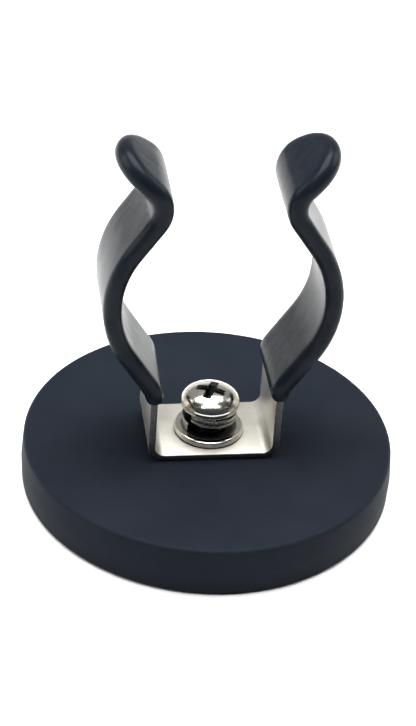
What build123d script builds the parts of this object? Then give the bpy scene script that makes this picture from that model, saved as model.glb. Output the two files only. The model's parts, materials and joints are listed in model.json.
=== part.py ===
from build123d import *
import os
from math import cos, radians, sin, tan

os.makedirs("parts", exist_ok=True)

# A rubber-coated disc magnet with a spring clip for a tube, held by one screw.
# Origin: centre of the disc's holding face. +Z up through the screw, +Y along the clipped tube.

# Holding disc, from the holding face up (mm)
disc_d = 43.0
face_skin = 0.6  # rubber under the magnets
magnet_t = 3.0
plate_t = 1.5
top_skin = 0.9  # rubber over the steel plate
disc_edge_r = 0.6
plate_margin = 2.0  # rubber round the plate's rim
magnet_d = 8.0
magnet_count = 8
magnet_circle_d = 26.0

# Threaded bush, closed at the bottom
thread_d = 4.0  # M4
thread_clearance = 0.05  # radial, screw in bush
bush_neck_d = 7.0
bush_flange_d = 11.0
bush_flange_t = 2.6
bush_floor = 0.8

# Clip strip
strip_w = 9.9
strip_t = 0.8
clip_outer_w = 15.0
bend_inner_r = 1.1
screw_hole_play = 0.5  # more than the thread, across
split_h = 8.3  # bare wall above the disc, up to the coated arms
knee_h = 0.25  # straight coated wall under the knee
knee_r = 2.5  # bends are given on the strip's centre line
leg_angle = 33.0  # from vertical, also where the grip arc starts
shoulder_angle = 34.0
lip_angle = 50.0
neck_r = 3.2
lip_len = 4.1

# Vinyl coating and the round grip that it lines
coat_t = 0.65
coat_rim_t = 0.45  # past the strip's edges and its lip
grip_r = 11.15  # on the coating
neck_gap = 12.2  # between the coated arms at their narrowest
coat_edge_r = 0.9

# Screw and its two captive washers
washer_d = 8.0
washer_t = 0.8
washer_bore_play = 0.3
spring_d = 6.3
spring_bore_play = 0.2
spring_section_h = 1.15
spring_free_h = 2.8
spring_turn = 350.0  # degrees of left-hand helix, the rest is the split
spring_end_angle = 211.0  # where its lower end stands, from +X
head_d = 6.8
head_rim_h = 0.45
head_dome_h = 1.6
head_edge_r = 0.15
screw_len = 6.0
screw_tip_chamfer = 0.4
recess_span = 3.7
recess_slot_w = 1.0
recess_depth = 1.5
recess_taper = 12.0
recess_angle = -25.0  # from +X

# Bores round the thread
screw_hole_d = thread_d + screw_hole_play
washer_bore_d = thread_d + washer_bore_play
spring_bore_d = thread_d + spring_bore_play

# Levels
magnet_z = face_skin
plate_z = magnet_z + magnet_t
plate_top = plate_z + plate_t
disc_t = plate_top + top_skin
bush_z = plate_z - bush_flange_t
strip_top = disc_t + strip_t
washer_top = strip_top + washer_t
head_z = washer_top + spring_free_h
split_z = disc_t + split_h
knee_z = split_z + knee_h

# Strip centre line, right half: wall, knee, leg, grip arc, shoulder, neck, lip
half_t = strip_t / 2
wall_x = clip_outer_w / 2 - half_t
bend_r = bend_inner_r + half_t
arc_r = grip_r + coat_t + half_t
neck_x = neck_gap / 2 + coat_t + half_t
leg_a = radians(leg_angle)
shoulder_a = radians(shoulder_angle)
knee_run = knee_r * tan(leg_a / 2)
leg_run = (arc_r * cos(leg_a) - wall_x) / sin(leg_a)
grip_z = knee_z + knee_run + leg_run * cos(leg_a) + arc_r * sin(leg_a)
shoulder_run = (arc_r * cos(shoulder_a) - neck_r * (1 - cos(shoulder_a)) - neck_x) / sin(shoulder_a)

with BuildLine() as base_line:
    flat = Line((0, disc_t + half_t), (wall_x - bend_r, disc_t + half_t))
    corner = JernArc(flat @ 1, flat % 1, bend_r, 90)
    Line(corner @ 1, (wall_x, split_z))

with BuildLine() as arm_line:
    wall = Line((wall_x, split_z), (wall_x, knee_z))
    knee = JernArc(wall @ 1, wall % 1, knee_r, -leg_angle)
    leg = PolarLine(knee @ 1, leg_run - knee_run, direction=knee % 1)
    grip = JernArc(leg @ 1, leg % 1, arc_r, leg_angle + shoulder_angle)
    shoulder = PolarLine(grip @ 1, shoulder_run, direction=grip % 1)
    neck = JernArc(shoulder @ 1, shoulder % 1, neck_r, -shoulder_angle - lip_angle)
    lip = PolarLine(neck @ 1, lip_len, direction=neck % 1)

lip_end = lip @ 1
lip_dir = lip % 1
outline_reach = 2 * (grip_z + arc_r)  # longer than the arm, whichever way it lies


def strip_outline(end_past, width):
    """The strip seen square to its lip: straight sides and one half-round end, end_past the lip."""
    tip = lip_end + lip_dir * end_past
    lip_plane = Plane(
        origin=(tip.X, 0, tip.Y),
        x_dir=(lip_dir.X, 0, lip_dir.Y),
        z_dir=(-lip_dir.Y, 0, lip_dir.X),
    )
    with BuildSketch(lip_plane) as outline:
        with Locations((-outline_reach / 2, 0)):
            SlotOverall(outline_reach, width)
    return outline.sketch


# Rubber-coated disc

with BuildPart() as backing_plate:
    with BuildSketch(Plane.XY.offset(plate_z)):
        Circle(disc_d / 2 - plate_margin)
        Circle(bush_neck_d / 2, mode=Mode.SUBTRACT)
    extrude(amount=plate_t)

with BuildPart() as threaded_bush:
    with BuildSketch(Plane.XY.offset(bush_z)):
        Circle(bush_flange_d / 2)
    extrude(amount=bush_flange_t)
    with BuildSketch(Plane.XY.offset(plate_z)):
        Circle(bush_neck_d / 2)
    extrude(amount=disc_t - plate_z)
    with BuildSketch(Plane.XY.offset(bush_z + bush_floor)):
        Circle(thread_d / 2 + thread_clearance)
    extrude(amount=disc_t - bush_z - bush_floor, mode=Mode.SUBTRACT)

with BuildPart() as rubber_jacket:
    with BuildSketch():
        Circle(disc_d / 2)
    extrude(amount=disc_t)
    fillet(rubber_jacket.edges(), disc_edge_r)
    with BuildSketch(Plane.XY.offset(plate_z)):
        Circle(disc_d / 2 - plate_margin)
    extrude(amount=plate_t, mode=Mode.SUBTRACT)
    with BuildSketch(Plane.XY.offset(magnet_z)):
        with PolarLocations(magnet_circle_d / 2, magnet_count):
            Circle(magnet_d / 2)
    extrude(amount=magnet_t, mode=Mode.SUBTRACT)
    with BuildSketch(Plane.XY.offset(bush_z)):
        Circle(bush_flange_d / 2)
    extrude(amount=bush_flange_t, mode=Mode.SUBTRACT)
    with BuildSketch(Plane.XY.offset(plate_top)):
        Circle(bush_neck_d / 2)
    extrude(amount=top_skin, mode=Mode.SUBTRACT)

magnets = []
for seat in PolarLocations(magnet_circle_d / 2, magnet_count):
    with BuildPart() as magnet:
        with BuildSketch(Plane.XY.offset(magnet_z)):
            with Locations(seat):
                Circle(magnet_d / 2)
        extrude(amount=magnet_t)
    magnets.append(magnet.part)

# Spring clip: the bare base with its two walls, and the arms above the split

with BuildPart() as clip_base:
    with BuildSketch(Plane.XZ):
        trace(base_line.line, line_width=strip_t)
        mirror(about=Plane.YZ)
    extrude(amount=strip_w / 2, both=True)
    with BuildSketch(Plane.XY.offset(disc_t)):
        Circle(screw_hole_d / 2)
    extrude(amount=strip_t, mode=Mode.SUBTRACT)

with BuildPart() as right_arm:
    with BuildSketch(Plane.XZ):
        trace(arm_line.line, line_width=strip_t)
    extrude(amount=strip_w, both=True)
    extrude(strip_outline(0, strip_w), amount=outline_reach, both=True, mode=Mode.INTERSECT)

with BuildPart() as right_arm_sleeve:
    with BuildLine() as coat_line:
        add(arm_line.line)
        PolarLine(lip_end, coat_rim_t, direction=lip_dir)
    with BuildSketch(Plane.XZ):
        trace(coat_line.line, line_width=strip_t + 2 * coat_t)
    extrude(amount=strip_w, both=True)
    coat_outline = strip_outline(coat_rim_t, strip_w + 2 * coat_rim_t)
    extrude(coat_outline, amount=outline_reach, both=True, mode=Mode.INTERSECT)
    rims = right_arm_sleeve.edges().filter_by(Axis.Y, reverse=True)
    fillet(rims.filter_by_position(Axis.Z, split_z + coat_t, lip_end.Y + disc_d), coat_edge_r)
    add(right_arm.part, mode=Mode.SUBTRACT)

with BuildPart() as left_arm:
    mirror(right_arm.part, about=Plane.YZ)

with BuildPart() as left_arm_sleeve:
    mirror(right_arm_sleeve.part, about=Plane.YZ)

# Pan head screw with its washers

with BuildPart() as flat_washer:
    with BuildSketch(Plane.XY.offset(strip_top)):
        Circle(washer_d / 2)
        Circle(washer_bore_d / 2, mode=Mode.SUBTRACT)
    extrude(amount=washer_t)

spring_pitch = (spring_free_h - spring_section_h) * 360 / spring_turn
spring_mean_r = (spring_d + spring_bore_d) / 4

with BuildPart() as spring_coil:
    with BuildLine():
        coil = Helix(
            pitch=spring_pitch,
            height=spring_pitch * spring_turn / 360,
            radius=spring_mean_r,
            center=(0, 0, washer_top + spring_section_h / 2),
            lefthand=True,
        )
    with BuildSketch(Plane(origin=coil @ 0, x_dir=(1, 0, 0), z_dir=(0, 1, 0))):
        Rectangle((spring_d - spring_bore_d) / 2, spring_section_h)
    sweep(path=coil, is_frenet=True)

with BuildPart() as spring_washer:
    add(spring_coil.part, rotation=(0, 0, spring_end_angle))

with BuildPart() as pan_head_screw:
    with BuildSketch(Plane.XY.offset(head_z - screw_len)):
        Circle(thread_d / 2)
    extrude(amount=screw_len)
    tip_edge = pan_head_screw.edges().sort_by(Axis.Z)[0]
    chamfer(tip_edge, screw_tip_chamfer)
    with BuildSketch(Plane.XZ):
        with BuildLine():
            rim_z = head_z + head_rim_h
            crown_z = rim_z + head_dome_h
            Polyline((0, crown_z), (0, head_z), (head_d / 2, head_z), (head_d / 2, rim_z))
            EllipticalCenterArc((0, rim_z), head_d / 2, head_dome_h, start_angle=0, arc_size=90)
        make_face()
    revolve(axis=Axis.Z)
    head_rim = pan_head_screw.edges().filter_by(GeomType.CIRCLE).group_by(SortBy.RADIUS)[-1].sort_by(Axis.Z)[0]
    fillet(head_rim, head_edge_r)
    with BuildSketch(Plane.XY.offset(crown_z)):
        Rectangle(recess_span, recess_slot_w, rotation=recess_angle)
        Rectangle(recess_slot_w, recess_span, rotation=recess_angle)
    extrude(amount=-recess_depth, taper=recess_taper, mode=Mode.SUBTRACT)

pieces = {
    "backing_plate": backing_plate.part,
    "threaded_bush": threaded_bush.part,
    "rubber_jacket": rubber_jacket.part,
    "clip_base": clip_base.part,
    "right_arm": right_arm.part,
    "right_arm_sleeve": right_arm_sleeve.part,
    "left_arm": left_arm.part,
    "left_arm_sleeve": left_arm_sleeve.part,
    "flat_washer": flat_washer.part,
    "spring_washer": spring_washer.part,
    "pan_head_screw": pan_head_screw.part,
}
for number, piece in enumerate(magnets, start=1):
    pieces[f"neodymium_magnet_{number}"] = piece

for name, piece in pieces.items():
    piece.label = name
    export_step(piece, f"parts/{name}.step")

print("mouth", neck_gap, "grip", 2 * grip_r, "grip z", round(grip_z, 2), "lip end", lip_end)
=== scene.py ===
import json
import math

import bmesh
import bpy
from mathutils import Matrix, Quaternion, Vector


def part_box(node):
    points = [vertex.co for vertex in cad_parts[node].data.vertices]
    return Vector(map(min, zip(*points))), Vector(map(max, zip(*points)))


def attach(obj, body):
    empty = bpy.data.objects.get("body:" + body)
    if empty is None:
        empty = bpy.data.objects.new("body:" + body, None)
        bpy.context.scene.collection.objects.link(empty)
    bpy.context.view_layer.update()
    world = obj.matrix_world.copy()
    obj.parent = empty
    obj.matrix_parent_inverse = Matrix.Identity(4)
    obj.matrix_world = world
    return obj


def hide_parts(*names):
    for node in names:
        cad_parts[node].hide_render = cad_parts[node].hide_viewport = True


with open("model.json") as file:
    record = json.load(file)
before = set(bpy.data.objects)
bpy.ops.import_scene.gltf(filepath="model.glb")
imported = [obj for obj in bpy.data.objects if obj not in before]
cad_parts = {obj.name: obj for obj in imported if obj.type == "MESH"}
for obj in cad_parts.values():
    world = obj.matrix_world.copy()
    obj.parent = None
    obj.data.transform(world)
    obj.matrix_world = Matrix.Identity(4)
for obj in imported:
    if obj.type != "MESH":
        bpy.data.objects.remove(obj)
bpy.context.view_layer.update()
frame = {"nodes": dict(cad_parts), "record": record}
mm = 0.001
print("frame: the magnet, its clip and the screw are loaded")

# what the CAD says: everything below is placed from these
discLow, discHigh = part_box("rubber_jacket")
plateLow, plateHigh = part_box("backing_plate")
bushLow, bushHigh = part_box("threaded_bush")
magnetLow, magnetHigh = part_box("neodymium_magnet_1")
baseLow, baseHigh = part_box("clip_base")
washerLow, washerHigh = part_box("flat_washer")
springLow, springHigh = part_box("spring_washer")
screwLow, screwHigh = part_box("pan_head_screw")
gripMount = [m for m in frame["record"]["mounts"] if m["name"] == "tube_grip"][0]
magnetNodes = ["neodymium_magnet_%d" % k for k in range(1, 9)]


class Socket:
    # an output that can be added, multiplied and so on: each sign adds a Math node
    def __init__(self, tree, out):
        self.tree, self.out = tree, out

    def maths(self, operation, *values):
        return self.tree.maths(operation, *values)

    def __add__(self, other):
        return self.maths("ADD", self, other)

    __radd__ = __add__

    def __sub__(self, other):
        return self.maths("SUBTRACT", self, other)

    def __rsub__(self, other):
        return self.maths("SUBTRACT", other, self)

    def __mul__(self, other):
        return self.maths("MULTIPLY", self, other)

    __rmul__ = __mul__

    def __truediv__(self, other):
        return self.maths("DIVIDE", self, other)

    def __rtruediv__(self, other):
        return self.maths("DIVIDE", other, self)

    def __pow__(self, other):
        return self.maths("POWER", self, other)

    def __gt__(self, other):
        return self.maths("GREATER_THAN", self, other)

    def __lt__(self, other):
        return self.maths("LESS_THAN", self, other)

    def __abs__(self):
        return self.maths("ABSOLUTE", self)


class NodeTree:
    # a shader or geometry tree, and the one method that adds any node to it
    def __init__(self, tree):
        self.tree = tree

    def node(self, kind, settings=None, links=None, out=0):
        made = self.tree.nodes.new(kind)
        for key, value in (settings or {}).items():
            if key == "stops":
                ramp = made.color_ramp
                while len(ramp.elements) < len(value):
                    ramp.elements.new(0.5)
                for element, (place, shade) in zip(ramp.elements, value):
                    element.position = place
                    element.color = (*shade, 1) if len(shade) == 3 else shade
            else:
                setattr(made, key, value)
        for key, value in (links or {}).items():
            self.put(made.inputs[key], value)
        return Socket(self, made.outputs[out])

    def maths(self, operation, *values):
        return self.node("ShaderNodeMath", {"operation": operation}, dict(enumerate(values)))

    def put(self, socket, value):
        if isinstance(value, Socket):
            self.tree.links.new(value.out, socket)
        else:
            socket.default_value = value


class Finish(NodeTree):
    # one material; varying values go in with put, even ones are set on the shader itself
    def __init__(self, name, even):
        self.material = bpy.data.materials.new(name)
        self.material.use_nodes = True
        super().__init__(self.material.node_tree)
        self.shader = self.tree.nodes["Principled BSDF"]
        for key, value in even.items():
            self.shader.inputs[key].default_value = value
        self.place = self.node("ShaderNodeTexCoord", out="Object")

    def axes(self):
        split = self.node("ShaderNodeSeparateXYZ", links={"Vector": self.place}).out.node
        return [Socket(self, out) for out in split.outputs]

    def stretched(self, scale):
        return self.node("ShaderNodeMapping", links={"Vector": self.place, "Scale": scale})

    def noise(self, size, detail=2.0, rough=0.5, where=None, out="Fac"):
        return self.node(
            "ShaderNodeTexNoise",
            links={"Vector": where or self.place, "Scale": 1 / size, "Detail": detail, "Roughness": rough},
            out=out,
        )

    def fade(self, value, low, high, atLow=0.0, atHigh=1.0):
        return self.node(
            "ShaderNodeMapRange",
            {"interpolation_type": "SMOOTHSTEP"},
            {"Value": value, "From Min": low, "From Max": high, "To Min": atLow, "To Max": atHigh},
        )

    def mixed(self, factor, first, second):
        return self.node("ShaderNodeMix", {"data_type": "RGBA"}, {0: factor, 6: first, 7: second}, out=2)

    def bumps(self, layers):
        # layers of (height, how far it stands out in metres)
        normal = None
        for height, depth in layers:
            links = {"Height": height, "Distance": depth, "Strength": 1.0}
            if normal:
                links["Normal"] = normal
            normal = self.node("ShaderNodeBump", links=links)
        self.put(self.shader.inputs["Normal"], normal)

    def surface(self, **inputs):
        names = {"colour": "Base Color", "roughness": "Roughness", "metal": "Metallic", "coat": "Coat Weight"}
        for key, value in inputs.items():
            self.put(self.shader.inputs[names[key]], value)
        return self


def rgb(red, green, blue):
    return (red, green, blue, 1)


def radiusOf(x, y):
    return (x * x + y * y) ** 0.5


def makeBlackRubber():
    look = {
        "base": rgb(0.0088, 0.0117, 0.0172),
        "paler": rgb(0.0108, 0.0138, 0.0194),
        "roughness": (0.44, 0.56),
    }
    f = Finish("blackRubber", {"IOR": 1.5, "Specular IOR Level": 0.03})
    clouds = f.noise(9 * mm, 4, 0.6)
    grain = f.noise(0.16 * mm, 2, 0.5)
    pores = f.noise(0.55 * mm, 3, 0.6)
    f.surface(
        colour=f.mixed(f.fade(clouds, 0.35, 0.7), look["base"], look["paler"]),
        roughness=f.fade(clouds * 0.6 + grain * 0.4, 0.3, 0.7, *look["roughness"]),
    )
    f.bumps([(clouds, 0.02 * mm), (pores, 0.006 * mm), (grain, 0.004 * mm)])
    return f.material


def makeBlackVinyl():
    look = {
        "base": rgb(0.0054, 0.0080, 0.0134),
        "thin": rgb(0.0084, 0.0112, 0.0150),
        "roughness": (0.24, 0.33),
    }
    f = Finish("blackVinyl", {"IOR": 1.5, "Specular IOR Level": 0.06, "Coat Roughness": 0.12, "Coat IOR": 1.3})
    pooled = f.noise(4.5 * mm, 2, 0.5)
    peel = f.noise(1.1 * mm, 2, 0.45)
    runs = f.noise(1.6 * mm, 1, 0.4, where=f.stretched((1, 1, 0.18)))
    dust = f.noise(0.12 * mm, 1, 0.5)
    f.surface(
        colour=f.mixed(f.fade(pooled, 0.3, 0.7), look["base"], look["thin"]),
        roughness=f.fade(pooled * 0.7 + dust * 0.3, 0.3, 0.7, *look["roughness"]),
        coat=f.fade(pooled, 0.25, 0.75, 0.0, 0.08),
    )
    f.bumps([(pooled, 0.05 * mm), (runs, 0.03 * mm), (peel, 0.008 * mm)])
    return f.material


def makeSpringSteel():
    look = {
        "bright": rgb(0.520, 0.505, 0.458),
        "dull": rgb(0.450, 0.436, 0.392),
        "wall": rgb(0.740, 0.715, 0.655),  # painted light: a lighter colour on the walls, for the light they catch
        # painted reflection: near black, for the dark disc that the sheared edges reflect
        "shearedPaintedReflection": rgb(0.045, 0.050, 0.064),
        "roughness": (0.46, 0.60),
        "wallRoughness": 0.16,  # taken off the base's
        "wallFrom": (baseLow.z + 0.9 * mm, baseLow.z + 2.2 * mm),
        "halfWidth": baseHigh.y,
        "shearedRim": 0.06 * mm,
    }
    f = Finish("satinNickelSteel", {"Metallic": 1.0})
    x, y, z = f.axes()
    # rolled along the strip, so the fine lines vary across its width only
    lines = f.noise(1.0 * mm, 3, 0.7, where=f.stretched((0.10, 14, 0.10)))
    blotches = f.noise(3.2 * mm, 4, 0.65)
    speck = f.noise(0.22 * mm, 2, 0.6)
    normal = f.node("ShaderNodeTexCoord", out="Normal")
    facing = f.node("ShaderNodeSeparateXYZ", links={"Vector": normal}, out="Y")
    cut = (abs(y) > look["halfWidth"] - look["shearedRim"]) * (abs(facing) > 0.5)
    shine = f.fade(blotches * 0.55 + lines * 0.45, 0.36, 0.64)
    tear = f.noise(0.35 * mm, 3, 0.7, where=f.stretched((4, 1, 4)))
    # painted light: 1 on the walls above the base, where the lighter colour stands in for light; it also lowers
    # their roughness and calms their bumps
    wall = f.fade(z, *look["wallFrom"])
    # rolled holds the steel's own random tone, with painted light on the walls
    rolled = f.mixed(wall * 0.85, f.mixed(shine, look["dull"], look["bright"]), look["wall"])
    rough = f.fade(speck * 0.5 + blotches * 0.5, 0.35, 0.65, *look["roughness"])
    f.surface(
        # the sheared edges keep their torn texture and are painted near black, a painted reflection of the dark
        # disc
        colour=f.mixed(cut * f.fade(tear, 0.35, 0.6, 0.7, 1.0), rolled, look["shearedPaintedReflection"]),
        roughness=rough - wall * look["wallRoughness"] + cut * 0.3,
    )
    calm = 1 - wall * 0.75
    f.bumps([(lines * calm, 0.0016 * mm), (speck * calm, 0.0012 * mm), (tear * cut, 0.02 * mm)])
    return f.material


def makeBrightNickel(name, turned=0.0, paintedShade=None):
    # turned makes its rings deeper; the last argument is a function of the finish that says where shade is painted
    # into the colour
    look = {
        "bright": rgb(0.800, 0.770, 0.700),
        "warm": rgb(0.660, 0.610, 0.500),
        # the near-black colour of the painted shade
        "paintedShade": rgb(0.020, 0.022, 0.028),
        "roughness": (0.10, 0.22),
    }
    f = Finish(name, {"Metallic": 1.0})
    x, y, z = f.axes()
    radius = radiusOf(x, y)
    rings = f.noise(0.16 * mm, 2, 0.5, where=f.node("ShaderNodeCombineXYZ", links={"X": radius, "Z": z}))
    tarnish = f.noise(1.4 * mm, 4, 0.6)
    speck = f.noise(0.15 * mm, 2, 0.6)
    clean = f.mixed(f.fade(tarnish, 0.48, 0.72), look["bright"], look["warm"])
    rough = f.fade(tarnish * 0.6 + speck * 0.4, 0.35, 0.65, *look["roughness"])
    if paintedShade:
        # painted shade: near black mixed into the colour where the mask says, with more roughness there
        paintedShadeMask = paintedShade(f) * f.fade(speck, 0.2, 0.5, 0.75, 1.0)
        clean = f.mixed(paintedShadeMask, clean, look["paintedShade"])
        rough = rough + paintedShadeMask * 0.35
    f.surface(colour=clean, roughness=rough)
    f.bumps([(tarnish, 0.007 * mm), (rings, 0.004 * mm + turned), (speck, 0.002 * mm)])
    return f.material


def makeSplitSteel():
    # the coil's own colour on its outer face, in streaks along the coil; painted shade, near black, on the flats
    # and the cut ends, where it meets the head and the washer
    look = {
        "bright": rgb(0.46, 0.44, 0.40),
        # near black: painted shade
        "paintedCreviceShade": rgb(0.055, 0.058, 0.070),
        "roughness": (0.20, 0.38),
        "height": 1.15 * mm,
        "outerFaceFrom": (3.0 * mm, 3.14 * mm),
        "strand": 0.30 * mm,
    }
    f = Finish("splitSteel", {"Metallic": 1.0})
    x, y, z = f.axes()
    radius = radiusOf(x, y)
    drawn = f.noise(0.5 * mm, 3, 0.6, where=f.stretched((0.5, 0.5, 5)))
    speck = f.noise(0.14 * mm, 2, 0.6)
    angle = f.maths("ARCTAN2", y, x)
    climb = (springHigh.z - springLow.z - look["height"]) / (2 * math.pi)
    unwound = f.node("ShaderNodeCombineXYZ", links={"Z": z + angle * climb})
    strand = f.noise(look["strand"], 2, 0.5, where=unwound)
    # painted shade everywhere but the outer face, which is streaked along the coil
    paler = f.fade(radius, *look["outerFaceFrom"]) * f.fade(strand, 0.44, 0.56, 0.10, 1.0)
    f.surface(
        colour=f.mixed(paler, look["paintedCreviceShade"], look["bright"]),
        roughness=f.fade(speck * 0.5 + drawn * 0.5, 0.3, 0.7, *look["roughness"]),
    )
    f.bumps([(drawn, 0.010 * mm), (speck, 0.003 * mm)])
    return f.material


def underWasher(f):
    # painted shade in the crack at the washer's foot and under the coil
    look = {"foot": (0.10 * mm, 0.34 * mm), "coil": (3.15 * mm, 3.45 * mm)}
    x, y, z = f.axes()
    foot = f.fade(z, *(washerLow.z + up for up in look["foot"]), 1.0, 0.0)
    track = f.fade(radiusOf(x, y), *look["coil"], 0.9, 0.0)
    return f.maths("MAXIMUM", foot, track)


def inRecess(f):
    # painted shade: 1 down inside the cross, from just under the dome, and on the thread
    look = {
        "domeH": 1.6 * mm,
        "depth": (0.10 * mm, 0.45 * mm),
        "reach": 2.05 * mm,
        "floor": 0.3 * mm,
        "shank": 0.12 * mm,
    }
    x, y, z = f.axes()
    squared = (x * x + y * y) / screwHigh.x**2
    inside = 1 - f.maths("MINIMUM", squared, 0.999)
    dome = (screwHigh.z - look["domeH"]) + look["domeH"] * inside**0.5
    cross = f.fade(dome - z, *look["depth"]) * (radiusOf(x, y) < look["reach"]) * (z > springHigh.z + look["floor"])
    return f.maths("MAXIMUM", cross, z < springHigh.z + look["shank"])


def makeZincSteel(name, tint):
    look = {"pale": rgb(0.62, 0.63, 0.65), "roughness": (0.30, 0.48), "spangle": 1.3 * mm}
    f = Finish(name, {"Metallic": 1.0})
    spangle = f.node(
        "ShaderNodeTexVoronoi", {"feature": "F1"}, {"Vector": f.place, "Scale": 1 / look["spangle"]}, out="Color"
    )
    patch = f.node("ShaderNodeSeparateColor", links={"Color": spangle})
    grain = f.noise(0.2 * mm, 3, 0.6)
    f.surface(
        colour=f.mixed(f.fade(patch * 0.6 + grain * 0.4, 0.2, 0.8), tint, look["pale"]),
        roughness=f.fade(patch * 0.5 + grain * 0.5, 0.2, 0.8, *look["roughness"]),
    )
    f.bumps([(grain, 0.004 * mm)])
    return f.material


finishes = {
    "rubber": makeBlackRubber(),
    "vinyl": makeBlackVinyl(),
    "spring": makeSpringSteel(),
    "screwNickel": makeBrightNickel("screwNickel", paintedShade=inRecess),
    "washerNickel": makeBrightNickel("washerNickel", paintedShade=underWasher),
    "splitSteel": makeSplitSteel(),
    "magnetNickel": makeBrightNickel("magnetNickel", 0.002 * mm),
    "mildSteel": makeZincSteel("zincPlate", rgb(0.42, 0.43, 0.45)),
    "zinc": makeZincSteel("zincBush", rgb(0.50, 0.49, 0.44)),
}
print("finishes:", ", ".join(finishes))


def roundedOutline(corners, steps=4):
    # corners of (u, v, radius), in order round a closed outline; returns its points with each corner an arc
    points = []
    for i, (u, v, radius) in enumerate(corners):
        here = Vector((u, v))
        if radius == 0:
            points.append(here)
            continue
        before = (Vector(corners[i - 1][:2]) - here).normalized()
        after = (Vector(corners[(i + 1) % len(corners)][:2]) - here).normalized()
        half = before.angle(after) / 2
        middle = here + (before + after).normalized() * radius / math.sin(half)
        first = here + before * radius / math.tan(half) - middle
        last = here + after * radius / math.tan(half) - middle
        turn = first.angle(last)
        for k in range(steps + 1):
            t = k / steps
            spoke = first * math.sin((1 - t) * turn) + last * math.sin(t * turn)
            points.append(middle + spoke / math.sin(turn))
    return points


def meshPiece(name, rings, material, capped=True, looped=False):
    # quads between closed rings of points; a looped piece joins its last ring to its first
    build = bmesh.new()
    rows = [[build.verts.new(p) for p in ring] for ring in rings]
    count = len(rows[0])
    for i in range(len(rows) - (0 if looped else 1)):
        low, high = rows[i], rows[(i + 1) % len(rows)]
        for j in range(count):
            k = (j + 1) % count
            build.faces.new((low[j], low[k], high[k], high[j]))
    if capped and not looped:
        build.faces.new(rows[0][::-1])
        build.faces.new(rows[-1])
    return finishMesh(name, build, material)


def finishMesh(name, build, material, sharp=38):
    bmesh.ops.remove_doubles(build, verts=build.verts, dist=1e-7)
    bmesh.ops.dissolve_degenerate(build, edges=build.edges, dist=1e-8)
    bmesh.ops.recalc_face_normals(build, faces=build.faces)
    mesh = bpy.data.meshes.new(name)
    build.to_mesh(mesh)
    build.free()
    mesh.materials.append(material)
    mesh.shade_smooth()
    mesh.set_sharp_from_angle(angle=math.radians(sharp))
    piece = bpy.data.objects.new(name, mesh)
    bpy.context.scene.collection.objects.link(piece)
    return piece


def lathed(name, outline, material, steps=96):
    # outline of (radius, z), closed, turned round Z
    rings = []
    for k in range(steps):
        a = 2 * math.pi * k / steps
        rings.append([(p[0] * math.cos(a), p[0] * math.sin(a), p[1]) for p in outline])
    return meshPiece(name, rings, material, looped=True)


def settled(piece):
    # modifiers worked into a plain mesh
    made = bpy.data.meshes.new_from_object(piece.evaluated_get(bpy.context.evaluated_depsgraph_get()))
    piece.modifiers.clear()
    old, piece.data = piece.data, made
    bpy.data.meshes.remove(old)
    return piece


def cutAway(piece, *tools):
    for tool in tools:
        cut = piece.modifiers.new("cut", "BOOLEAN")
        cut.operation, cut.solver, cut.object = "DIFFERENCE", "EXACT", tool
    settled(piece)
    for tool in tools:
        bpy.data.objects.remove(tool)
    return piece


def redone(piece, sharp=38):
    build = bmesh.new()
    build.from_mesh(piece.data)
    bmesh.ops.remove_doubles(build, verts=build.verts, dist=2e-7)
    build.to_mesh(piece.data)
    build.free()
    piece.data.shade_smooth()
    piece.data.set_sharp_from_angle(angle=math.radians(sharp))
    return piece


class GeometryTree(NodeTree):
    # inputs of (name, socket type, value); each is a socket by its name
    def __init__(self, name, inputs):
        group = bpy.data.node_groups.new(name, "GeometryNodeTree")
        self.identifiers = {}
        for label, kind, value in inputs:
            item = group.interface.new_socket(label, in_out="INPUT", socket_type=kind)
            if value is not None:
                item.default_value = value
            self.identifiers[label] = item.identifier
        group.interface.new_socket("Geometry", in_out="OUTPUT", socket_type="NodeSocketGeometry")
        super().__init__(group)
        entry = group.nodes.new("NodeGroupInput")
        self.given = {out.name: Socket(self, out) for out in entry.outputs if out.name}

    def close(self, geometry):
        solid = self.node("GeometryNodeRealizeInstances", links={"Geometry": geometry})
        paint = {"Geometry": solid, "Material": self.given["Material"]}
        coloured = self.node("GeometryNodeSetMaterial", links=paint)
        end = self.tree.nodes.new("NodeGroupOutput")
        self.tree.links.new(coloured.out, end.inputs["Geometry"])
        return self

    def grow(self, name, values, sharp=38):
        mesh = bpy.data.meshes.new(name)
        piece = bpy.data.objects.new(name, mesh)
        bpy.context.scene.collection.objects.link(piece)
        modifier = piece.modifiers.new(name, "NODES")
        modifier.node_group = self.tree
        for label, value in values.items():
            modifier[self.identifiers[label]] = value
        settled(piece)
        piece.data.materials.clear()
        piece.data.materials.append(values["Material"])
        piece.data.polygons.foreach_set("material_index", [0] * len(piece.data.polygons))
        return redone(piece, sharp)


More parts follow.
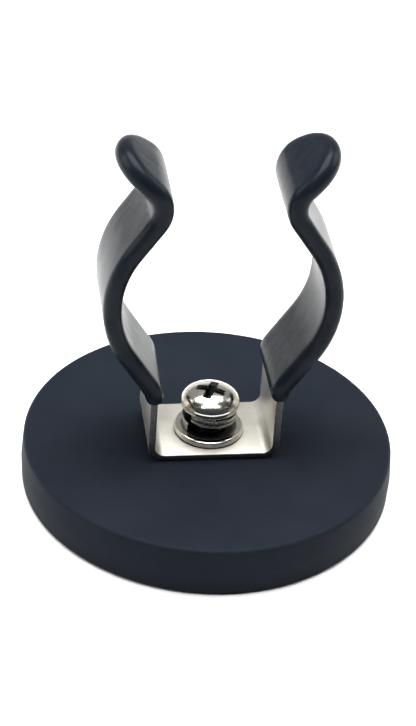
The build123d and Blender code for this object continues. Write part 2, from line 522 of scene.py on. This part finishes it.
def makeDiscRingTree():
    # discs with eased rims, evenly spaced on a ring
    t = GeometryTree(
        "discRing",
        [
            ("Count", "NodeSocketInt", 8),
            ("Ring Radius", "NodeSocketFloat", 0.013),
            ("Disc Radius", "NodeSocketFloat", 0.004),
            ("Thickness", "NodeSocketFloat", 0.003),
            ("Rim", "NodeSocketFloat", 0.0002),
            ("Middle", "NodeSocketVector", None),
            ("Material", "NodeSocketMaterial", None),
        ],
    )
    g = t.given
    disc = t.node(
        "GeometryNodeMeshCylinder",
        {"fill_type": "NGON"},
        {"Vertices": 48, "Radius": g["Disc Radius"], "Depth": g["Thickness"] - 2 * g["Rim"]},
    )
    normal = t.node("GeometryNodeInputNormal")
    up = abs(t.node("ShaderNodeSeparateXYZ", links={"Vector": normal}, out="Z")) > 0.9
    drawn = t.node(
        "GeometryNodeExtrudeMesh",
        {"mode": "FACES"},
        {"Mesh": disc, "Selection": up, "Offset Scale": g["Rim"], "Individual": True},
    )
    top = Socket(t, drawn.out.node.outputs["Top"])
    eased = t.node(
        "GeometryNodeScaleElements",
        {"domain": "FACE"},
        {"Geometry": drawn, "Selection": top, "Scale": (g["Disc Radius"] - g["Rim"]) / g["Disc Radius"]},
    )
    ring = t.node(
        "GeometryNodeMeshCircle", {"fill_type": "NONE"}, {"Vertices": g["Count"], "Radius": g["Ring Radius"]}
    )
    placed = t.node("GeometryNodeInstanceOnPoints", links={"Points": ring, "Instance": eased})
    moved = t.node("GeometryNodeTransform", links={"Geometry": placed, "Translation": g["Middle"]})
    return t.close(moved)


def makeCoilTree():
    # a bar of rounded section wound into a coil that climbs from its start
    t = GeometryTree(
        "coil",
        [
            ("Middle Radius", "NodeSocketFloat", 0.0026),
            ("Turns", "NodeSocketFloat", 0.97),
            ("Climb", "NodeSocketFloat", 0.0016),
            ("Right Hand", "NodeSocketBool", True),
            ("Start", "NodeSocketVector", None),
            ("Start Angle", "NodeSocketFloat", 0.0),
            ("Section Width", "NodeSocketFloat", 0.001),
            ("Section Height", "NodeSocketFloat", 0.001),
            ("Section Turn", "NodeSocketFloat", 0.0),
            ("Section Rounding", "NodeSocketFloat", 0.0001),
            ("Steps", "NodeSocketInt", 64),
            ("Material", "NodeSocketMaterial", None),
        ],
    )
    g = t.given
    spiral = t.node(
        "GeometryNodeCurveSpiral",
        links={
            "Resolution": g["Steps"],
            "Rotations": g["Turns"],
            "Start Radius": g["Middle Radius"],
            "End Radius": g["Middle Radius"],
            "Height": g["Climb"],
            "Reverse": g["Right Hand"],
        },
    )
    level = t.node("GeometryNodeSetCurveNormal", {"mode": "Z_UP"}, {"Curve": spiral})
    section = t.node(
        "GeometryNodeCurvePrimitiveQuadrilateral",
        {"mode": "RECTANGLE"},
        {"Width": g["Section Width"], "Height": g["Section Height"]},
    )
    eased = t.node(
        "GeometryNodeFilletCurve",
        {"mode": "POLY"},
        {"Curve": section, "Radius": g["Section Rounding"], "Limit Radius": True, "Count": 3},
    )
    sectionTurn = t.node("ShaderNodeCombineXYZ", links={"Z": g["Section Turn"]})
    turned = t.node("GeometryNodeTransform", links={"Geometry": eased, "Rotation": sectionTurn})
    bar = t.node("GeometryNodeCurveToMesh", links={"Curve": level, "Profile Curve": turned, "Fill Caps": True})
    startTurn = t.node("ShaderNodeCombineXYZ", links={"Z": g["Start Angle"]})
    placed = t.node(
        "GeometryNodeTransform", links={"Geometry": bar, "Rotation": startTurn, "Translation": g["Start"]}
    )
    return t.close(placed)


discRingTree = makeDiscRingTree()
coilTree = makeCoilTree()
print("geometry trees: discRing, coil")


def makeRubberDisc():
    look = {
        "radius": discHigh.x,
        "top": discHigh.z,
        "edge": 0.62 * mm,
        "bottomEdge": 0.55 * mm,
        "flashAt": 2.9 * mm,  # where the mould's halves met
        "flashOut": 0.012 * mm,
        "dish": 0.05 * mm,  # the holding face is a hair hollow in the middle
        "neck": 3.5 * mm,
    }
    radius, top, flash = look["radius"] - look["flashOut"], look["top"], look["flashAt"]
    outer = roundedOutline(
        [
            (look["neck"], top, 0.12 * mm),
            (radius - 0.2 * mm, top, look["edge"]),
            (radius, flash + 0.16 * mm, 0),
            (radius, flash + 0.06 * mm, 0),
            (radius + look["flashOut"], flash, 0.01 * mm),
            (radius, flash - 0.06 * mm, 0),
            (radius, flash - 0.16 * mm, 0),
            (radius - 0.1 * mm, 0, look["bottomEdge"]),
            (radius - 3 * mm, 0, 2 * mm),
            (radius - 6 * mm, look["dish"], 2 * mm),
            (0.0, look["dish"], 0),
            # inside: the bush's seat, then the plate's
            (0.0, bushLow.z, 0),
            (bushHigh.x, bushLow.z, 0),
            (bushHigh.x, plateLow.z, 0),
            (plateHigh.x, plateLow.z, 0),
            (plateHigh.x, plateHigh.z, 0),
            (look["neck"], plateHigh.z, 0),
        ],
        steps=6,
    )
    disc = lathed("rubberDisc", outer, finishes["rubber"], steps=160)
    pockets = discRingTree.grow(
        "pockets",
        {
            "Count": len(magnetNodes),
            "Ring Radius": magnetRingRadius,
            "Disc Radius": magnetRadius,
            "Thickness": magnetHigh.z - magnetLow.z + 0.2 * mm,
            "Rim": 0.01 * mm,
            "Middle": (0, 0, (magnetLow.z + magnetHigh.z) / 2 + 0.1 * mm),
            "Material": finishes["rubber"],
        },
    )
    return redone(cutAway(disc, pockets))


def makeMagnets():
    look = {"rim": 0.25 * mm}
    return discRingTree.grow(
        "magnets",
        {
            "Count": len(magnetNodes),
            "Ring Radius": magnetRingRadius,
            "Disc Radius": magnetRadius,
            "Thickness": magnetHigh.z - magnetLow.z,
            "Rim": look["rim"],
            "Middle": (0, 0, (magnetLow.z + magnetHigh.z) / 2),
            "Material": finishes["magnetNickel"],
        },
    )


magnetRadius = (magnetHigh.x - magnetLow.x) / 2
magnetRingRadius = (magnetHigh.x + magnetLow.x) / 2
rubberDisc = makeRubberDisc()
magnets = makeMagnets()
print("disc: rubber jacket and", len(magnetNodes), "magnets")


# the strip's centre line, in the CAD's own steps
clip = {
    "stripT": 0.8 * mm,
    "coatT": 0.65 * mm,
    "coatRimT": 0.45 * mm,
    "bendInnerR": 1.1 * mm,
    "kneeH": 0.25 * mm,
    "kneeR": 2.5 * mm,
    "legAngle": math.radians(33),
    "shoulderAngle": math.radians(34),
    "lipAngle": math.radians(50),
    "neckR": 3.2 * mm,
    "lipLen": 4.1 * mm,
    "neckGap": 12.2 * mm,
    "gripR": gripMount["dims"]["r_mm"] * mm,
    "holeR": 2.25 * mm,
}
halfT = clip["stripT"] / 2
wallX = baseHigh.x - halfT
splitZ = baseHigh.z
bendR = clip["bendInnerR"] + halfT
arcR = clip["gripR"] + clip["coatT"] + halfT
neckX = clip["neckGap"] / 2 + clip["coatT"] + halfT
stripHalfW = baseHigh.y
coatHalfW = stripHalfW + clip["coatRimT"]


def armSteps():
    # (length, how far it turns) from the split up to the lip's end; a turn outwards counts up
    leg, shoulder, lip = clip["legAngle"], clip["shoulderAngle"], clip["lipAngle"]
    kneeRun = clip["kneeR"] * math.tan(leg / 2)
    legRun = (arcR * math.cos(leg) - wallX) / math.sin(leg)
    neckDrop = clip["neckR"] * (1 - math.cos(shoulder))
    shoulderRun = (arcR * math.cos(shoulder) - neckDrop - neckX) / math.sin(shoulder)
    return [
        (clip["kneeH"], 0),
        (clip["kneeR"] * leg, leg),
        (legRun - kneeRun, 0),
        (arcR * (leg + shoulder), -leg - shoulder),
        (shoulderRun, 0),
        (clip["neckR"] * (shoulder + lip), shoulder + lip),
        (clip["lipLen"] + clip["coatRimT"], 0),
    ]


steps = armSteps()
coatEnd = sum(length for length, turn in steps)
stripEnd = coatEnd - clip["coatRimT"]
neckMiddle = sum(length for length, turn in steps[:5]) + steps[5][0] / 2


def alongArm(s):
    # the point on the right arm's centre line at s from the split, and its outward normal, both in X and Z
    here, heading = Vector((wallX, splitZ)), 0.0
    for i, (length, turn) in enumerate(steps):
        part = min(s, length) if i < len(steps) - 1 else s
        bend = turn * part / length
        if turn:
            radius = length / turn
            after = heading + bend
            across = Vector((math.cos(heading) - math.cos(after), math.sin(after) - math.sin(heading)))
            here += across * radius
        else:
            here += Vector((math.sin(heading), math.cos(heading))) * part
        heading += bend
        s -= part
        if s <= 0:
            break
    return here, Vector((math.cos(heading), -math.sin(heading)))


def armShell(endAt, halfWidth, halfThick, rim, foot, side, swell, across=22, spacing=0.35 * mm):
    # closed rings up one arm: flat faces, an edge rounded by rim, and a half-round end at endAt
    roundFrom = endAt - halfWidth
    straight = [roundFrom * k / round(roundFrom / spacing) for k in range(round(roundFrom / spacing) + 1)]
    footRows = [foot * (1 - math.cos(k * math.pi / 12)) for k in range(6)] if foot else []
    straight = footRows + [s for s in straight if s > foot]
    ends = [roundFrom + halfWidth * math.sin(math.pi / 2 * k / 18) for k in range(1, 19)]
    shares = [math.sin(math.pi / 2 * (2 * k / across - 1)) for k in range(across + 1)]
    rings = []
    for s in straight + ends:
        past = max(s - roundFrom, 0)
        reach = math.sqrt(max(halfWidth**2 - past**2, 0))
        middle, normal = alongArm(s)
        outer, inner = [], []
        for share in shares:
            y = reach * share
            depth = halfWidth - math.hypot(past, y)  # how far inside the outline
            thick = halfThick
            if depth < rim:
                thick = halfThick - rim + math.sqrt(max(rim**2 - (rim - max(depth, 0)) ** 2, 0))
            if s < foot:
                lift = 0.25 + 0.75 * math.sqrt(max(1 - (1 - s / foot) ** 2, 0))
                thick = min(thick, halfT + (halfThick - halfT) * lift)
            grown = swell(s, y) * math.sqrt(min(max(depth, 0) / rim, 1))
            for points, way, part in ((outer, 1, 1.0), (inner, -1, 0.3)):
                at = middle + normal * way * (thick + grown * part)
                points.append((side * at.x, y, at.y))
        rings.append(outer + inner[::-1])
    return rings


def makeSleeve(name, side):
    look = {
        "rim": 1.02 * mm,
        "foot": 0.6 * mm,
        "pooledAtNeck": 0.28 * mm,
        "pooledLength": 2.6 * mm,
        "drop": 0.32 * mm,  # the thick end that the dip leaves
        "dropLength": 3.4 * mm,
    }
    halfThick = halfT + clip["coatT"]

    def swell(s, y):
        # the dip runs into the hollow under the lip
        near = math.exp(-(((s - neckMiddle) / look["pooledLength"]) ** 2))
        drop = math.exp(-(((coatEnd - 1.5 * mm - s) / look["dropLength"]) ** 2))
        return (look["pooledAtNeck"] * near + look["drop"] * drop) * (1 - 0.6 * (y / coatHalfW) ** 2)

    outside = armShell(coatEnd, coatHalfW, halfThick, look["rim"], look["foot"], side, swell)
    inside = armShell(stripEnd, stripHalfW, halfT, 0.02 * mm, 0, side, lambda s, y: 0)
    return meshPiece(name, outside[::-1] + inside, finishes["vinyl"], capped=False)


def makeClipStrip():
    look = {"edge": 0.07 * mm, "bendSteps": 14}
    corner = Vector((wallX - bendR, discHigh.z + halfT + bendR))
    half = [(Vector((x * (wallX - bendR) / 4, discHigh.z + halfT)), Vector((0, -1))) for x in range(4)]
    for k in range(look["bendSteps"] + 1):
        a = math.pi / 2 * k / look["bendSteps"]
        out = Vector((math.sin(a), -math.cos(a)))
        half.append((corner + out * bendR, out))
    half += [(Vector((wallX, corner.y + (splitZ - corner.y) * k / 4)), Vector((1, 0))) for k in range(1, 5)]
    line = [(Vector((-p.x, p.y)), Vector((-n.x, n.y))) for p, n in half[:0:-1]] + half
    e = look["edge"]
    corners = [(-1, -1), (1, -1), (1, 1), (-1, 1)]
    section = roundedOutline([(halfT * u, stripHalfW * v, e) for u, v in corners], steps=2)
    rings = [[(p.x + n.x * c.x, c.y, p.y + n.y * c.x) for c in section] for p, n in line]
    strip = meshPiece("clipStrip", rings, finishes["spring"])
    low, high = discHigh.z - mm, discHigh.z + 2 * mm
    drill = [(0, low), (clip["holeR"], low), (clip["holeR"], high), (0, high)]
    hole = lathed("hole", drill, finishes["spring"], steps=64)
    return redone(cutAway(strip, hole))


clipStrip = makeClipStrip()
leftSleeve = makeSleeve("leftSleeve", -1)
rightSleeve = makeSleeve("rightSleeve", 1)
print("clip: bent strip and two dipped sleeves")


def makeFlatWasher():
    look = {"rolled": 0.28 * mm, "burr": 0.06 * mm, "bore": 2.15 * mm}
    low, high, outer = washerLow.z, washerHigh.z, washerHigh.x
    outline = roundedOutline(
        [
            (look["bore"], low, look["burr"]),
            (outer, low, look["burr"]),
            (outer, high, look["rolled"]),
            (look["bore"], high, look["burr"] * 1.6),
        ],
        steps=5,
    )
    return lathed("flatWasher", outline, finishes["washerNickel"], steps=96)


def makeSpringWasher():
    look = {
        "outer": 3.15 * mm,
        "bore": 2.10 * mm,
        "height": 1.15 * mm,
        "turn": 350 / 360,
        "startAngle": math.radians(211),
        "slack": 0.002 * mm,
    }
    return coilTree.grow(
        "springWasher",
        {
            "Middle Radius": (look["outer"] + look["bore"]) / 2 - look["slack"],
            "Turns": look["turn"],
            "Climb": springHigh.z - springLow.z - look["height"] - look["slack"],
            "Right Hand": False,
            "Start": (0, 0, springLow.z + (look["height"] + look["slack"]) / 2),
            "Start Angle": look["startAngle"],
            "Section Width": look["outer"] - look["bore"],
            "Section Height": look["height"],
            "Section Turn": 0.0,
            "Section Rounding": 0.13 * mm,
            "Steps": 110,
            "Material": finishes["splitSteel"],
        },
        sharp=32,
    )


def makeScrew():
    look = {
        "headR": screwHigh.x,
        "headZ": springHigh.z,
        "rimH": 0.45 * mm,
        "domeH": 1.6 * mm,
        "coreR": 1.66 * mm,
        "pitch": 0.7 * mm,
        "ridge": 0.44 * mm,
        "ridgeOut": 0.02 * mm,
        "runOut": 0.55 * mm,  # bare core at each end of the thread
        "pointH": 0.5 * mm,
        "recessSpan": 3.7 * mm,
        "recessSlot": 1.0 * mm,
        # each level's depth under the crown and its share of the span
        "recessLevels": ((-0.4 * mm, 1.08), (0.0, 1.0), (0.55 * mm, 0.80), (1.5 * mm, 0.34)),
        "recessAngle": math.radians(-25),
    }
    low, rim = look["headZ"], look["headZ"] + look["rimH"]
    crown = rim + look["domeH"]
    core, head, tip = look["coreR"], look["headR"], screwLow.z
    angles = [math.pi / 2 * k / 20 for k in range(1, 21)]
    dome = [(head * math.cos(a), rim + look["domeH"] * math.sin(a)) for a in angles]
    under = roundedOutline(
        [(core, low, 0.12 * mm), (head, low, 0.2 * mm), (head, rim + 0.2 * mm, 0), (0, crown, 0)], steps=5
    )
    under = [p for p in under if p[0] > core - 1e-9 and p[1] < rim + 1e-9]
    outline = [(0, tip), (core - 0.35 * mm, tip), (core, tip + look["pointH"])] + under + dome
    screw = lathed("screw", outline, finishes["screwNickel"], steps=112)

    rows = []
    for depth, share in look["recessLevels"]:
        arm, half = look["recessSpan"] / 2 * share, look["recessSlot"] / 2 * (0.55 + 0.45 * share)
        corners = []
        for k in range(4):
            a = look["recessAngle"] + k * math.pi / 2
            for u, v, r in ((half, -half, 0.12 * mm), (arm, -half, 0.1 * mm), (arm, half, 0.1 * mm)):
                corners.append((u * math.cos(a) - v * math.sin(a), u * math.sin(a) + v * math.cos(a), r))
        rows.append([(p.x, p.y, crown - depth) for p in roundedOutline(corners, steps=3)])
    cross = meshPiece("cross", rows, finishes["screwNickel"])
    cutAway(screw, cross)

    threadLength = low - tip - 2 * look["runOut"]
    thread = coilTree.grow(
        "thread",
        {
            "Middle Radius": core + look["ridgeOut"],
            "Turns": threadLength / look["pitch"],
            "Climb": threadLength,
            "Right Hand": True,
            "Start": (0, 0, tip + look["runOut"]),
            "Start Angle": 0.0,
            "Section Width": look["ridge"],
            "Section Height": look["ridge"],
            "Section Turn": math.radians(45),
            "Section Rounding": 0.03 * mm,
            "Steps": 260,
            "Material": finishes["screwNickel"],
        },
    )
    build = bmesh.new()
    build.from_mesh(screw.data)
    build.from_mesh(thread.data)
    build.to_mesh(screw.data)
    build.free()
    bpy.data.objects.remove(thread)
    return redone(screw, 30)


flatWasher = makeFlatWasher()
springWasher = makeSpringWasher()
screw = makeScrew()
print("screw: head, thread and both washers")

rides = [
    (rubberDisc, "magnet", "black_rubber", ["rubber_jacket"]),
    (magnets, "magnet", "magnet_nickel", magnetNodes),
    (clipStrip, "clip", "spring_steel", ["clip_base"]),
    (leftSleeve, "left_jaw", "black_vinyl", ["left_arm_sleeve"]),
    (rightSleeve, "right_jaw", "black_vinyl", ["right_arm_sleeve"]),
    (flatWasher, "washers", "nickel_plate", ["flat_washer"]),
    (springWasher, "washers", "nickel_plate", ["spring_washer"]),
    (screw, "screw", "nickel_plate", ["pan_head_screw"]),
]
for piece, body, slot, nodes in rides:
    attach(piece, body)
    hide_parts(*nodes)

carriedOver = {"backing_plate": "mildSteel", "threaded_bush": "zinc", "left_arm": "spring", "right_arm": "spring"}
for node, finish in carriedOver.items():
    mesh = frame["nodes"][node].data
    mesh.materials.clear()
    mesh.materials.append(finishes[finish])
print("rides: every piece is on its body")


def makeFloor():
    look = {"size": 3.0, "colour": rgb(0.90, 0.90, 0.885)}
    build = bmesh.new()
    bmesh.ops.create_grid(build, x_segments=1, y_segments=1, size=look["size"])
    f = Finish("paleFloor", {"Roughness": 0.9, "Specular IOR Level": 0.1})
    cloud = f.noise(0.4, 2)
    f.surface(colour=f.mixed(cloud, look["colour"], rgb(0.93, 0.93, 0.92)))
    floor = finishMesh("floor", build, f.material)


def makeWorld():
    look = {
        "strength": 0.95,
        "strip": 2.6,
        "stripUp": 0.17,
        "stripHeight": 0.17,
        "stripBehind": 0.72,
        "shades": [
            (0.0, (0.03, 0.035, 0.045)),
            (0.45, (0.08, 0.085, 0.10)),
            (0.75, (0.25, 0.25, 0.25)),
            (1.0, (0.35, 0.35, 0.345)),
        ],
    }
    world = bpy.data.worlds.new("studio")
    bpy.context.scene.world = world
    world.use_nodes = True
    t = NodeTree(world.node_tree)
    background = world.node_tree.nodes["Background"]
    way = t.node("ShaderNodeTexCoord", out="Generated")
    split = t.node("ShaderNodeSeparateXYZ", links={"Vector": way}).out.node
    back = Socket(t, split.outputs["Y"]) * 0.5 + 0.5
    shade = t.node("ShaderNodeValToRGB", {"stops": look["shades"]}, {"Fac": back})
    t.put(background.inputs["Color"], shade)
    # a long low light behind the object
    off = abs(Socket(t, split.outputs["Z"]) - look["stripUp"]) / look["stripHeight"]
    low = t.maths("MAXIMUM", 1 - off, 0.0)
    t.put(background.inputs["Strength"], look["strength"] + look["strip"] * low * (back > look["stripBehind"]))


def makeLight(name, place, aim, size, power, colour=(1, 1, 1)):
    data = bpy.data.lights.new(name, "AREA")
    data.shape, data.size, data.size_y = "RECTANGLE", size[0], size[1]
    data.energy, data.color = power, colour
    lamp = bpy.data.objects.new(name, data)
    lamp.location = place
    lamp.rotation_mode = "QUATERNION"
    lamp.rotation_quaternion = (Vector(aim) - Vector(place)).to_track_quat("-Z", "Y")
    bpy.context.scene.collection.objects.link(lamp)


def makeCamera():
    look = {
        "azimuth": math.radians(-9.7),
        "elevation": math.radians(37.5),
        "distance": 260 * mm,
        "aim": Vector((-0.56 * mm, 0.1 * mm, 16.0 * mm)),
        "roll": math.radians(-4.17),
        "lens": 110.4,  # mm, on a 36 mm sensor
    }
    data = bpy.data.cameras.new("camera")
    data.lens, data.sensor_width, data.sensor_fit = look["lens"], 36, "AUTO"
    data.clip_start, data.clip_end = 0.01, 20
    camera = bpy.data.objects.new("camera", data)
    a, e = look["azimuth"], look["elevation"]
    back = Vector((math.sin(a) * math.cos(e), -math.cos(a) * math.cos(e), math.sin(e)))
    camera.location = Vector((0, 0, 3 * mm)) + back * look["distance"]
    camera.rotation_mode = "QUATERNION"
    gaze = (look["aim"] - camera.location).to_track_quat("-Z", "Y")
    camera.rotation_quaternion = gaze @ Quaternion((0, 0, 1), -look["roll"])
    bpy.context.scene.collection.objects.link(camera)
    bpy.context.scene.camera = camera


makeFloor()
makeWorld()
makeLight("topSoftbox", (0.0, 0.12, 0.8), (0, 0, 0.01), (0.7, 0.6), 16.0)
makeLight("leftSoftbox", (-0.6, 0.1, 0.35), (0, 0, 0.02), (0.4, 0.5), 3.0)
makeLight("rightSoftbox", (0.6, 0.15, 0.4), (0, 0, 0.02), (0.4, 0.5), 3.0)
makeCamera()
bpy.context.scene.view_settings.view_transform = "Standard"
print("studio: floor, lights and camera")
